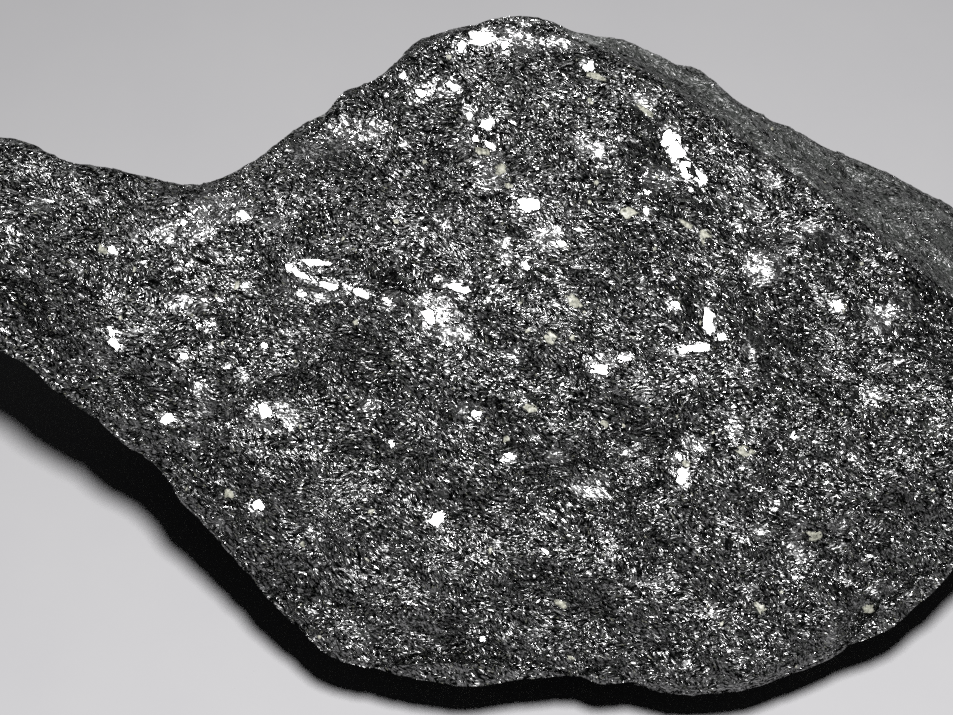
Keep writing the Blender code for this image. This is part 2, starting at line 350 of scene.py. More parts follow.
def ledges(points, out, thickness, height, on_face):
    """Steps where sheets of the foliation end: a slow rise through each sheet, then a short drop to the next.
    They fade to the share on_face where the surface runs along the sheets."""
    sheet = (points @ ACROSS_SHEETS) / thickness + SHEET_WAVE * waves(points, SHEET_WAVE_WIDTH, seed=5)
    share = sheet - np.floor(sheet)
    rise = np.minimum(share / (1 - LEDGE_DROP), (1 - share) / LEDGE_DROP)
    steep = 1 - (out @ ACROSS_SHEETS) ** 2
    return height * (rise - 0.5) * (on_face + (1 - on_face) * steep)


def rib(points):
    """A low rib along a broken line over the broad face, and a bell curve across it."""
    along, up, out = from_stand(points)
    nearest = np.full(along.shape, np.inf)
    for start, end in zip(RIB, RIB[1:]):
        run, rise = end[0] - start[0], end[1] - start[1]
        share = ((along - start[0]) * run + (up - start[1]) * rise) / (run**2 + rise**2)
        share = np.clip(share, 0, 1)
        gap = (along - start[0] - share * run) ** 2 + (up - start[1] - share * rise) ** 2
        nearest = np.minimum(nearest, gap)
    return RIB_HEIGHT * np.exp(-nearest / RIB_WIDTH**2) * (out > FACE_OUT)


def broken_surface():
    """Three grids, in millimetres at the stone's place: the points on the broken surface, the loft it
    stands on, and how weathered it is. The surface is the loft, raised along its own outward directions by
    the sum of its reliefs. The back is an older face: its weathering sets in right behind the crest on one
    half of the stone, behind the ridge on the other, and ends at the toe."""
    net = rails()
    along = evenly(net, ALONG, closed=False)
    around = evenly(net[1:-1].transpose(1, 0, 2), AROUND, closed=True)
    lengthwise = curve_through(net, along, closed=False)
    points = curve_through(lengthwise.transpose(1, 0, 2), around, closed=True).transpose(1, 0, 2)
    out = outward(points)
    relief = SWELL_HEIGHT * waves(points, SWELL_WIDTH, seed=1)
    relief += LUMP_HEIGHT * waves(points, LUMP_WIDTH, seed=2)
    relief += rib(points)
    for thickness, height, on_face in LEDGES:
        relief += ledges(points, out, thickness, height, on_face)
    for width, depth in CHIP_SIZES:
        relief += chips(points, width, depth)
    tapered = np.minimum(1, np.sin(pi * along / (len(net) - 1)) / TIP_SHARE)[:, None]
    loft = points - FOOTPRINT
    sets_in = np.interp(loft[..., 0], WEATHERED_FROM, WEATHERED_RAILS)
    weathering = np.clip((around - sets_in) / WEATHERED_EASE[0], 0, 1)
    weathering *= np.clip((TOE_RAIL - around) / WEATHERED_EASE[1], 0, 1)
    return loft + out * (relief * tapered)[..., None], loft, weathering


def roughened(points, out):
    """The surface with its grain: small waves, and each point moved a little at random, less where it is
    flat on the table. The facets between the points then catch the light one by one."""
    chance = np.random.default_rng(11)
    grain = GRAIN_HEIGHT * waves(points, GRAIN_WIDTH, seed=21, count=24)
    grain += chance.normal(0, GRAIN_JITTER, grain.shape)
    rough = points + out * grain[..., None]
    rough[0], rough[-1] = points[0], points[-1]
    rough[..., 2] = np.maximum(rough[..., 2], 0)
    return rough


def skin_of(points):
    """The vertices, faces and map of a closed skin over the grid: quads, and at each tip a fan of
    triangles. The map is the grid itself, laid out flat."""
    rows, columns = points.shape[0] - 2, points.shape[1]
    inner = points[1:-1].reshape(-1, 3)
    number = np.arange(rows * columns).reshape(rows, columns)
    onward = np.roll(number, -1, axis=1)
    quads = np.stack([number[:-1], number[1:], onward[1:], onward[:-1]], axis=-1).reshape(-1, 4)
    left, right = rows * columns, rows * columns + 1
    fans = [(left, a, b) for a, b in zip(number[0], onward[0])]
    fans += [(right, b, a) for a, b in zip(number[-1], onward[-1])]
    x, y = np.meshgrid(np.arange(1, rows), np.arange(columns), indexing="ij")
    spots = np.stack([x, y, x + 1, y, x + 1, y + 1, x, y + 1], axis=-1)
    side = np.arange(columns)
    start, end = np.zeros(columns), np.full(columns, rows + 1)
    first = np.stack([start, side + 0.5, start + 1, side, start + 1, side + 1], axis=-1)
    last = np.stack([end, side + 0.5, end - 1, side + 1, end - 1, side], axis=-1)
    spots = np.concatenate([part.reshape(-1, 2) for part in (spots, first, last)]) / (rows + 1, columns)
    return np.vstack([inner, points[:1, 0], points[-1:, 0]]), quads.tolist() + fans, spots


def finished(name, mesh, material):
    """A piece of the stone: it rides on the stone's body and takes the rock's finish."""
    mesh.materials.append(material)
    piece = bpy.data.objects.new(name, mesh)
    bpy.context.scene.collection.objects.link(piece)
    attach(piece, "root")
    return piece


# The felt of crystals. Sizes are along, across and through the sheets of the foliation. A pair says where
# something sets in and where it is full.
CRYSTAL, FIBRE, HAIR = (2.0, 0.62, 0.60), (0.95, 0.125, 0.125), (0.32, 0.08, 0.075)
BUNDLE, BUNDLE_TURN = (0.44, 0.15, 0.15), 0.9  # the fibres' bundles turn up to this angle from the lineation
# Painted shade: the gaps between bundles are darkened, by the distance from a bundle's middle.
GAP_SHADE = (0.42, 0.66)  # the dark between bundles, by the distance from a bundle's middle
SWIRL, SWIRL_WIDTH = 1.6, 100 / 11  # how far the crystals' rows are moved at most, and over what width
ROUND_ENDS, ROUND_SIDES = 0.3, 2.0  # how a rounding is shared out between a crystal's ends and its sides
# Where the rock broke across its sheets, everything leans so many times as far. Then the cosine of the angle
# between the surface and the sheets where that sets in, and where it is full.
ACROSS_ROUGHER, ACROSS = 3.0, (0.985, 0.80)
COMBED_WIDTH, RUFFLED = 10 / 3, (0.36, 0.64)  # the patches where the felt is combed, and where it is ruffled
TORN, TORN_EDGE = 1.6, (1.1, 1.35)  # how much ragged noise adds to flatness, and the sum that lies flat


def swirled(tree, place):
    """The place moved by slow noise, which bends the crystals' rows into swirls."""
    bend = add_node(tree, "ShaderNodeTexNoise", Vector=place, Scale=1 / (SWIRL_WIDTH * MM), Detail=3.0)
    centred = add_node(tree, "ShaderNodeVectorMath", {"operation": "SUBTRACT"},
                       input_0=bend.outputs["Color"], input_1=(0.5, 0.5, 0.5)).outputs[0]
    scaled = add_node(tree, "ShaderNodeVectorMath", {"operation": "SCALE"}, input_0=centred,
                      Scale=2 * SWIRL * MM).outputs[0]
    moved = add_node(tree, "ShaderNodeVectorMath", {"operation": "ADD"}, input_0=place, input_1=scaled)
    return moved.outputs[0]


def crystal_cells(tree, place, size):
    """Splits the rock into crystals of a size. Gives each crystal's random colour, the way and how far the
    place lies from its middle, in crystals, and how the crystals' own axes are turned."""
    along = Vector(LINEATION)
    across = Vector(ACROSS_SHEETS).cross(along).normalized()
    frame_turn = Matrix((along, across, along.cross(across))).transposed().to_euler()
    inside = add_node(tree, "ShaderNodeMapping", {"vector_type": "TEXTURE"}, Vector=place,
                      Rotation=frame_turn, Scale=tuple(s * MM for s in size)).outputs[0]
    cells = add_node(tree, "ShaderNodeTexVoronoi", {"voronoi_dimensions": "3D"}, Vector=inside, Scale=1.0)
    away = add_node(tree, "ShaderNodeVectorMath", {"operation": "SUBTRACT"},
                    input_0=inside, input_1=cells.outputs["Position"])
    return cells.outputs["Color"], away.outputs[0], cells.outputs["Distance"], frame_turn


def leaning(tree, normal, place, size, tilt, round_over, turn):
    """A surface direction that leans its own way in each crystal, by up to half of tilt, and by round_over to
    either side across the crystal's width, as over a rod. Each crystal's random colour is given too."""
    colour, away, _, frame_turn = crystal_cells(tree, place, size)
    centred = add_node(tree, "ShaderNodeVectorMath", {"operation": "SUBTRACT"},
                       input_0=colour, input_1=(0.5, 0.5, 0.5)).outputs[0]
    tilted = add_node(tree, "ShaderNodeVectorMath", {"operation": "SCALE"}, input_0=centred,
                      Scale=tilt).outputs[0]
    rounding = (round_over * ROUND_ENDS, round_over * ROUND_SIDES, 0.0)
    rounded = add_node(tree, "ShaderNodeVectorMath", {"operation": "MULTIPLY_ADD"}, input_0=away,
                       input_1=rounding, input_2=tilted).outputs[0]
    lean = add_node(tree, "ShaderNodeMapping", {"vector_type": "VECTOR"}, Vector=rounded,
                    Rotation=frame_turn).outputs[0]
    if turn is not None:
        lean = add_node(tree, "ShaderNodeVectorRotate", {"invert": True}, Vector=lean,
                        Axis=tuple(ACROSS_SHEETS), Angle=turn).outputs[0]
    facing = add_node(tree, "ShaderNodeVectorMath", {"operation": "ADD"}, input_0=normal, input_1=lean)
    return facing.outputs[0], colour


def felt_of(tree, crystal, fibres, flat_in="silver", flattest=0.7, ragged=10 / 3):
    """The surface direction of a felt of crystals, each filled with bundles of finer fibres that lie its
    own way, then the random numbers of the finest fibres, how flat the place is, and how deep in a gap
    between bundles, which sets how much painted shade falls there.

    crystal holds the crystals' size, how far they lean and how far they are rounded over. fibres holds for
    each kind its size, how far it leans where the felt lies combed and where it is ruffled, and its
    rounding. Where the rock broke across its sheets everything leans more. Where the attribute flat_in is
    high, the surface goes over to flat by the share flattest, with an edge torn to the width ragged."""
    place = add_node(tree, "ShaderNodeTexCoord").outputs["Object"]
    normal = add_node(tree, "ShaderNodeNewGeometry").outputs["Normal"]
    combing = add_node(tree, "ShaderNodeTexNoise", Vector=place, Scale=1 / (COMBED_WIDTH * MM),
                       Detail=2.0).outputs["Fac"]
    tearing = add_node(tree, "ShaderNodeTexNoise", Vector=place, Scale=1 / (ragged * MM),
                       Detail=3.0).outputs["Fac"]
    along_sheets = add_node(tree, "ShaderNodeVectorMath", {"operation": "DOT_PRODUCT"}, input_0=normal,
                            input_1=tuple(ACROSS_SHEETS)).outputs["Value"]
    rough = add_node(tree, "ShaderNodeMapRange", Value=along_sheets, From_Min=ACROSS[0],
                     From_Max=ACROSS[1], To_Min=1.0, To_Max=ACROSS_ROUGHER).outputs[0]
    place = swirled(tree, place)
    size, lean, round_over = crystal
    tilt = add_node(tree, "ShaderNodeMath", {"operation": "MULTIPLY"}, input_0=rough,
                    input_1=2 * lean).outputs[0]
    facing, colour = leaning(tree, normal, place, size, tilt, round_over, None)
    chance = add_node(tree, "ShaderNodeSeparateColor", Color=colour).outputs["Red"]
    turn = add_node(tree, "ShaderNodeMapRange", Value=chance, To_Min=-BUNDLE_TURN,
                    To_Max=BUNDLE_TURN).outputs[0]
    place = add_node(tree, "ShaderNodeVectorRotate", Vector=place, Axis=tuple(ACROSS_SHEETS),
                     Angle=turn).outputs[0]
    for size, combed, ruffled, round_over in fibres:
        tilt = add_node(tree, "ShaderNodeMapRange", Value=combing, From_Min=RUFFLED[0],
                        From_Max=RUFFLED[1], To_Min=2 * combed, To_Max=2 * ruffled).outputs[0]
        tilt = add_node(tree, "ShaderNodeMath", {"operation": "MULTIPLY"}, input_0=rough,
                        input_1=tilt).outputs[0]
        facing, colour = leaning(tree, facing, place, size, tilt, round_over, turn)
    chance = add_node(tree, "ShaderNodeSeparateColor", Color=colour).outputs
    level = add_node(tree, "ShaderNodeAttribute", {"attribute_name": flat_in}).outputs["Fac"]
    torn = add_node(tree, "ShaderNodeMath", {"operation": "MULTIPLY_ADD"}, input_0=tearing, input_1=TORN,
                    input_2=level).outputs[0]
    flat = add_node(tree, "ShaderNodeMapRange", Value=torn, From_Min=TORN_EDGE[0], From_Max=TORN_EDGE[1],
                    To_Max=flattest).outputs[0]
    combed = add_node(tree, "ShaderNodeMix", {"data_type": "VECTOR"}, Factor=flat, input_4=facing,
                      input_5=normal).outputs[1]
    facing = add_node(tree, "ShaderNodeVectorMath", {"operation": "NORMALIZE"}, input_0=combed).outputs[0]
    away = crystal_cells(tree, place, BUNDLE)[2]
    # Painted shade in the gaps between bundles, less where the felt lies flat.
    gap = add_node(tree, "ShaderNodeMapRange", Value=away, From_Min=GAP_SHADE[0], From_Max=GAP_SHADE[1]).outputs[0]
    felted = add_node(tree, "ShaderNodeMath", {"operation": "SUBTRACT"}, input_0=1.0, input_1=flat).outputs[0]
    gap = add_node(tree, "ShaderNodeMath", {"operation": "MULTIPLY"}, input_0=gap, input_1=felted).outputs[0]
    return facing, chance, flat, gap


WEATHERED, CRUST, CRUST_DULLER = "#4a4d4a", 0.75, 0.22  # its colour, its cover, and how much rougher it is
LUSTRE = 2.35  # well above hornblende's own index of 1.66


def glossy(tree, shader, colour, roughness, facing, gap):
    """Gives the shader its links, and the lustre of cleaved hornblende: light that comes back from cleavage
    cracks below the surface adds to the shine of the surface itself, as a higher index does. The gaps
    between bundles get painted shade: their shine is turned down there. Where the rock is weathered it is
    greyer and duller."""
    weathered = add_node(tree, "ShaderNodeAttribute", {"attribute_name": "weathered"}).outputs["Fac"]
    crust = add_node(tree, "ShaderNodeMath", {"operation": "MULTIPLY"}, input_0=weathered,
                     input_1=CRUST).outputs[0]
    colour = add_node(tree, "ShaderNodeMix", {"data_type": "RGBA"}, Factor=crust, input_6=colour,
                      input_7=linear(WEATHERED)).outputs[2]
    roughness = add_node(tree, "ShaderNodeMath", {"operation": "MULTIPLY_ADD"}, input_0=weathered,
                         input_1=CRUST_DULLER, input_2=roughness).outputs[0]
    # Painted shade: the shine is turned down in the gaps between bundles.
    lit = add_node(tree, "ShaderNodeMath", {"operation": "SUBTRACT"}, input_0=1.0, input_1=gap).outputs[0]
    tree.links.new(colour, shader.inputs["Base Color"])
    tree.links.new(roughness, shader.inputs["Roughness"])
    tree.links.new(facing, shader.inputs["Normal"])
    tree.links.new(lit, shader.inputs["Specular IOR Level"])
    shader.inputs["IOR"].default_value = LUSTRE


def felted_hornblende():
    """Amphibolite, freshly broken: a felt of black hornblende fibres, each with its own bright cleavage, so
    every fibre leans and shines in its own way. A few are pale plagioclase."""
    material, tree, shader = new_material("felted hornblende")
    fibres = ((FIBRE, 0.09, 0.20, 0.28), (HAIR, 0.25, 0.60, 0.2))
    facing, chance, _, gap = felt_of(tree, (CRYSTAL, 0.27, 0.15), fibres)
    roughness = add_node(tree, "ShaderNodeMapRange", Value=chance["Green"], To_Min=0.18,
                         To_Max=0.44).outputs[0]
    tones = (0.0, "#020202"), (0.6, "#080909"), (0.9, "#1b1d1c"), (0.975, "#3d403c"), (1.0, "#8f8f80")
    colour = add_node(tree, "ShaderNodeValToRGB", {"tones": tones}, Fac=chance["Blue"]).outputs["Color"]
    glossy(tree, shader, colour, roughness, facing, gap)
    return material


# Where the large white cleavage flakes lie: along, up the broad face, length, width, and the turn of their
# length from the lineation.
WHITE_FLAKES = (
    (-1.2, 27.0, 2.8, 0.95, 27), (0.3, 26.1, 1.1, 0.8, -33), (-3.1, 26.1, 1.0, 0.7, 87),
    (-4.0, 23.0, 1.4, 0.75, 2), (-6.8, 22.3, 1.1, 0.75, 17), (-7.9, 23.8, 0.8, 0.45, -38),
    (-2.7, 20.7, 0.8, 0.7, 0), (-1.0, 19.8, 1.2, 0.95, 10), (-0.8, 18.0, 1.2, 0.4, -3),
    (-2.1, 18.4, 0.8, 0.45, -18), (2.1, 12.9, 1.9, 0.95, 22), (7.3, 24.7, 1.1, 0.8, 7),
    (14.1, 18.7, 1.9, 1.5, -33), (14.7, 17.3, 2.4, 1.2, -33), (15.4, 15.8, 1.8, 0.95, -38),
    (16.6, 15.1, 1.6, 0.8, -38), (12.1, 12.4, 1.0, 0.5, -58), (12.1, 13.8, 0.7, 0.4, 27),
    (15.8, 14.1, 0.5, 0.45, 0), (-3.6, 6.0, 2.3, 0.75, 9), (17.3, 3.5, 1.9, 0.85, -58),
    (14.4, 4.4, 1.3, 0.45, -11), (4.6, 10.9, 0.6, 0.4, -60), (5.2, 9.9, 0.9, 0.5, 20),
    (6.4, 10.8, 0.8, 0.35, 22), (1.9, 7.7, 1.0, 0.5, -43), (-15.3, 8.1, 2.3, 0.5, 22),
    (-17.3, 7.7, 0.75, 0.65, 0), (-16.4, 7.2, 2.0, 0.5, -3), (-14.1, 6.2, 1.8, 0.55, 16),
    (-16.3, 5.4, 1.0, 0.45, 17), (-11.6, 5.4, 1.4, 0.55, 2), (-9.5, 4.8, 1.0, 0.4, 0),
    (-6.0, 3.8, 1.3, 1.0, 0), (-31.8, 1.3, 1.2, 0.9, -33), (-32.0, 2.3, 1.0, 0.4, -43),
    (-27.6, -4.9, 1.35, 0.75, 24), (-19.4, -4.2, 1.9, 0.95, -25), (-20.2, -12.3, 1.2, 0.9, 20),
    (-5.3, -13.2, 1.3, 1.0, 10), (-26.2, 0.4, 0.9, 0.5, 10), (-19.6, 1.0, 0.6, 0.5, 0),
    (-21.1, 11.8, 1.2, 0.6, 2), (-32.2, 9.0, 0.9, 0.6, -10), (-26.2, 11.4, 0.7, 0.6, 0),
    (-9.1, -7.1, 0.75, 0.4, -43), (18.2, 1.9, 1.2, 0.6, 20), (15.8, 0.9, 2.8, 0.75, 35),
    (8.3, -0.6, 1.7, 0.85, 25), (10.2, 0.2, 1.3, 0.5, 12), (28.2, 4.6, 1.2, 0.8, -53),
    (0.7, -8.0, 1.0, 0.5, 7), (24.6, -6.4, 0.7, 0.6, 0), (15.3, -9.7, 1.35, 1.0, -53),
    (14.8, -8.2, 1.0, 0.4, -43), (-1.8, -4.2, 1.0, 0.65, 10), (3.8, -15.8, 0.85, 0.4, -8),
    (-1.4, -23.4, 0.5, 0.45, 0),
)
GLEAM = (0.7, 0.9)  # how far the gleam round a white flake reaches, in its lengths and widths
CLUMP_WIDTH, CLUMP_SHARE, CLUMPS_ABOVE = 3.0, 0.5, 0.5
FLAT_REACH, FLAT_EASE = 1.35, 6.0  # how far a flake's flat reaches, past its rim, and how fast it eases off
FLAT_DEPTH = 2.0  # how far above and below its plane it reaches
OUT_OF_REACH = 1000.0
# Where bundles of crystals lie combed flat and gleam: along, up the broad face, and how far each way.
SILVERY = (
    (-22.9, 12.7, 2.5, 1.2), (-5.8, 3.8, 2.7, 1.8), (-18.9, -4.9, 2.2, 1.5), (20.8, 1.2, 1.3, 1.0),
    (31.8, 3.5, 1.2, 1.5), (0.8, 0.7, 1.2, 0.8), (-2.9, -4.3, 1.5, 1.0), (31.9, -19.2, 1.3, 0.8),
    (7.5, -10.4, 1.7, 1.2), (-0.8, 15.4, 1.3, 1.7), (11.7, 21.8, 1.0, 0.7), (4.2, 10.0, 1.7, 1.3),
    (12.9, 15.4, 1.2, 1.2), (-5.0, 22.9, 1.7, 0.8), (-25.8, 4.6, 2.2, 1.0), (-15.0, 5.8, 3.3, 1.0),
    (0.0, 26.7, 3.8, 1.0), (20.8, 12.9, 1.3, 0.8), (-3.6, 2.2, 1.6, 1.0), (-8.8, 5.0, 1.6, 0.6),
    (-14.5, 17.6, 2.0, 1.0), (8.0, 17.5, 1.5, 1.0), (6.0, 26.6, 2.2, 0.8), (26.7, 10.4, 2.6, 1.1),
    (22.5, 7.9, 2.0, 1.5), (34.0, 4.6, 1.6, 0.9), (-12.0, 19.4, 2.6, 1.3), (-26.5, 10.6, 2.8, 1.0),
)


def along_and_up(points):
    """How far points lie along and up the broad face; those round the back are put out of reach."""
    along, up, out = from_stand(points + FOOTPRINT)
    return along, np.where(out > FACE_OUT, up, OUT_OF_REACH)


def nearest_places(surface, spots):
    """The rows and columns of the surface's points that lie nearest to spots given along and up the broad
    face."""
    along, up = along_and_up(surface)
    found = [np.argmin((along - spot[0]) ** 2 + (up - spot[1]) ** 2) for spot in spots]
    return np.unravel_index(found, along.shape)


def silver_at(points):
    """How silvery the rock is at each point, from 0 to 1: a bell curve over each of the patches and the white
    flakes, and faint clumps at the tops of slow waves."""
    along, up = along_and_up(points)
    silver = np.clip(CLUMP_SHARE * (waves(points, CLUMP_WIDTH, seed=41) - CLUMPS_ABOVE), 0, 1)
    for middle, height, far, high in SILVERY:
        silver = np.maximum(silver, np.exp(-(((along - middle) / far) ** 2 + ((up - height) / high) ** 2)))
    for middle, height, length, width, turn in WHITE_FLAKES:
        way = radians(turn) + LINEATION_TURN
        x = (along - middle) * cos(way) + (up - height) * sin(way)
        y = (up - height) * cos(way) - (along - middle) * sin(way)
        far, high = GLEAM[0] * length, GLEAM[1] * width
        silver = np.maximum(silver, np.exp(-((x / far) ** 2 + (y / high) ** 2)))
    return silver


def store(mesh, name, values):
    """Keeps a number for each point of a mesh, for its material to read."""
    mesh.attributes.new(name, "FLOAT", "POINT").data.foreach_set("value", np.asarray(values, np.float32))


def to_the_lens(places):
    """The direction a facet at each place faces when it throws the flash into the lens: halfway between the
    two."""
    lamp = np.array(bpy.data.objects["flash"].matrix_world.translation) / MM
    lens = np.array(bpy.context.scene.camera.matrix_world.translation) / MM
    return unit(unit(lamp - places) + unit(lens - places))


def lying(out, turn):
    """The lineation laid along a surface that faces out, and turned about out by an angle."""
    flat = unit(LINEATION - (out @ LINEATION)[..., None] * out)
    turn = np.asarray(turn)[..., None]
    return flat * np.cos(turn) + np.cross(out, flat) * np.sin(turn)


def within_flake(points, middle, out, flake):
    """The square of how far points lie from a flake's middle, 1 being the rim of its ellipse, and the
    points seen from that middle."""
    _, _, length, width, turn = flake
    way = lying(out, radians(turn))
    away = points - middle
    return (away @ way * 2 / length) ** 2 + (away @ np.cross(out, way) * 2 / width) ** 2, away


def cleaved_flat(points, spots):
    """The surface with flat places where large crystals cleaved: inside an ellipse round each spot the
    points drop or rise onto the plane that faces halfway between flash and lens, and ease off outside it by
    a bell curve."""
    points = points.copy()
    rows, columns = nearest_places(points, spots)
    facing = to_the_lens(points[rows, columns])
    for middle, out, spot in zip(points[rows, columns], facing, spots):
        square, away = within_flake(points, middle, out, spot)
        share = np.exp(-np.maximum(np.sqrt(square) - FLAT_REACH, 0) ** 2 * FLAT_EASE)
        share *= np.abs(away @ out) < FLAT_DEPTH
        points -= ((away @ out) * share)[..., None] * out
    return points, rows, columns, facing


surface, loft, weathering = broken_surface()
surface, white_row, white_column, white_out = cleaved_flat(surface, WHITE_FLAKES)
surface_out = outward(surface)
stone_mesh = bpy.data.meshes.new("stone_skin")
skin_points, skin_faces, skin_spots = skin_of(roughened(surface, surface_out) * MM)
stone_mesh.from_pydata(skin_points.tolist(), [], skin_faces)
chart = stone_mesh.uv_layers.new(name="OFBake")
chart.uv.foreach_set("vector", skin_spots.astype(np.float32).reshape(-1))
store(stone_mesh, "silver", silver_at(skin_points / MM))
store(stone_mesh, "weathered", np.append(weathering[1:-1].reshape(-1), (0, 0)))
stone_skin = finished("stone_skin", stone_mesh, felted_hornblende())
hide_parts("amphibolite_stone")


# ---------------------------------------------------------------- the hornblende blades
# The rock's crystals stand out of its broken surface as flat slender blades of hornblende. They lie mostly
# along the lineation, swirl a little, and lean at random, so each one's cleavage face is light or dark by
# itself.

BATCHES, BLADES_IN_BATCH = 2, 24000
BLADE_LENGTH, LENGTH_SPREAD = 0.95, 0.38  # median, and the spread of its logarithm
BLADE_WIDTH, WIDTH_SPREAD = 0.18, 0.32
LONGEST = 2.4
TURN = radians(24)
BLADE_SWIRLS = ((radians(26), 15.0, 31), (radians(14), 5.0, 32))  # angle, width of the waves, and their seed
TONES = (1.2, 2.6)  # a beta distribution: most crystals are dark
EDGE_LIFT, EDGE_RISE = 0.02, 0.022  # how far a blade's corners stand out of the surface, and their spread
KEEL, KEEL_BY_WIDTH = 0.12, 0.3  # how far its lower edge reaches into the rock
# Four corners on the surface and the two ends of the keel: lengthways, sideways, and whether it is sunk.
BLADE_CORNERS = ((-1, -1, 0), (1, -1, 0), (1, 1, 0), (-1, 1, 0), (-0.7, 0, 1), (0.7, 0, 1))
LONGER, WIDER, WIDER_BY = 1.3, 2.0, 0.1  # a blade drawn out further than this over an edge is left out
CLEAR_OF_FLAKES = 1.2  # the square of how far blades keep off, 1 being a white flake's rim
OFF_TABLE, LOWEST = 0.1, 0.02  # how high the crystals' middles and corners stay


def surface_at(grid, row, column):
    """What a grid holds between its points: the mean of the four round each place, by nearness."""
    row = np.clip(row, 0, ALONG - 1e-6)
    top, left = np.floor(row).astype(int), np.floor(column).astype(int)
    down, over = (row - top)[:, None], (column - left)[:, None]
    left, right = left % AROUND, (left + 1) % AROUND
    upper = grid[top, left] * (1 - over) + grid[top, right] * over
    lower = grid[top + 1, left] * (1 - over) + grid[top + 1, right] * over
    return upper * (1 - down) + lower * down


def scattered(count, chance):
    """Random places on the loft, as many to each square millimetre: their rows and columns in the grid."""
    steps = loft[1:] - loft[:-1]
    sideways = np.roll(loft[:-1], -1, axis=1) - loft[:-1]
    area = np.linalg.norm(np.cross(steps, sideways), axis=-1)
    area *= surface[:-1, :, 2] > OFF_TABLE
    chosen = np.searchsorted(np.cumsum(area), chance.uniform(0, area.sum(), count))
    row, column = np.unravel_index(np.minimum(chosen, area.size - 1), area.shape)
    return row + chance.uniform(0, 1, count), column + chance.uniform(0, 1, count)


def clear_of_flakes(row, column):
    """Leaves out the places on the white flakes: those inside the ellipse of any of them."""
    place = surface_at(surface, row, column)
    clear = np.ones(len(row), bool)
    for middle, out, flake in zip(surface[white_row, white_column], white_out, WHITE_FLAKES):
        clear &= within_flake(place, middle, out, flake)[0] > CLEAR_OF_FLAKES
    return row[clear], column[clear]


def lineation_at(row, column, turn):
    """How far a millimetre along the crystals' way, and one across it, reach in rows and columns, by least
    squares on the grid's own steps. The way is the lineation laid on the loft, swirled by slow waves and
    turned by the angle given."""
    down = surface_at(np.diff(loft, axis=0, append=loft[-1:]), row, column)
    over = surface_at(np.roll(loft, -1, axis=1) - loft, row, column)
    out = unit(np.cross(down, over))
    place = surface_at(loft, row, column)
    for angle, width, seed in BLADE_SWIRLS:
        turn = turn + angle * waves(place, width, seed)
    way = lying(out, turn)
    reaches = []
    for vector in (way, np.cross(out, way)):
        a, b, c = (down * down).sum(-1), (down * over).sum(-1), (over * over).sum(-1)
        d, e = (vector * down).sum(-1), (vector * over).sum(-1)
        size = np.maximum(a * c - b * b, 1e-9)
        reaches.append(((c * d - b * e) / size, (a * e - b * d) / size))
    return reaches


def mesh_of_copies(name, points, pattern, sizes, spots):
    """A mesh of many small closed lumps with the same faces. points holds each lump's corners, pattern the
    corners of one lump's faces in a row, sizes how many corners each face has, and spots where each corner
    in the pattern lies on the map, where every lump has a small square of its own."""
    count, corners = points.shape[:2]
    loops = (pattern + corners * np.arange(count)[:, None]).reshape(-1)
    totals = np.tile(sizes, count)
    mesh = bpy.data.meshes.new(name)
    mesh.vertices.add(corners * count)
    mesh.vertices.foreach_set("co", (points * MM).reshape(-1))
    mesh.loops.add(len(loops))
    mesh.loops.foreach_set("vertex_index", loops)
    mesh.polygons.add(len(totals))
    mesh.polygons.foreach_set("loop_start", np.concatenate([[0], np.cumsum(totals)[:-1]]))
    mesh.update(calc_edges=True)
    mesh.shade_flat()
    cells = int(np.ceil(sqrt(count)))
    square = np.stack([np.arange(count) % cells, np.arange(count) // cells], axis=-1)[:, None]
    chart = mesh.uv_layers.new(name="OFBake")
    chart.uv.foreach_set("vector", ((square + spots) / cells).astype(np.float32).reshape(-1))
    return mesh


def blades_mesh(name, row, column, turn, length, width, tone, chance):
    """Flat blades. Each is a parallelogram whose four corners lie on the surface, a little up or down at
    random, closed below by a keel. Those that an edge of the rock would draw out are left out."""
    count = len(row)
    onward, aside = lineation_at(row, column, turn)
    slant = chance.uniform(-0.5, 0.5, count)
    corners = []
    for lengthways, sideways, sunk in BLADE_CORNERS:
        along = lengthways * length / 2 + sideways * slant * width
        across = sideways * width / 2
        at = row + along * onward[0] + across * aside[0], column + along * onward[1] + across * aside[1]
        lift = chance.normal(EDGE_LIFT, EDGE_RISE, count) * (1 - sunk) - sunk * (KEEL + KEEL_BY_WIDTH * width)
        corners.append(surface_at(surface, *at) + surface_at(surface_out, *at) * lift[:, None])
    points = np.stack(corners, axis=1)
    points[..., 2] = np.maximum(points[..., 2], LOWEST)
    whole = np.linalg.norm(points[:, 1] - points[:, 0], axis=-1) < LONGER * length
    whole &= np.linalg.norm(points[:, 3] - points[:, 0], axis=-1) < WIDER * width + WIDER_BY
    points, tone, row, column = points[whole], tone[whole], row[whole], column[whole]
    # The top, the two long sides down to the keel, and the two ends.
    pattern = np.array([0, 1, 2, 3, 1, 0, 4, 5, 3, 2, 5, 4, 0, 3, 4, 2, 1, 5])
    spots = np.array([(0.1, 0.4), (0.9, 0.4), (0.9, 0.9), (0.1, 0.9), (0.25, 0.1), (0.75, 0.1)])
    mesh = mesh_of_copies(name, points, pattern, (4, 4, 4, 3, 3), spots[pattern])
    each = len(BLADE_CORNERS)
    store(mesh, "tone", np.repeat(tone, each))
    store(mesh, "silver", np.repeat(silver_at(points.mean(1)), each))
    store(mesh, "weathered", np.repeat(surface_at(weathering[..., None], row, column)[:, 0], each))
    mesh.validate()
    return mesh


BLADE_FIBRES = ((FIBRE, 0.06, 0.14, 0.28), (HAIR, 0.23, 0.57, 0.2))
STREAKS = 0.2  # how much paler than its blade a fibre may be


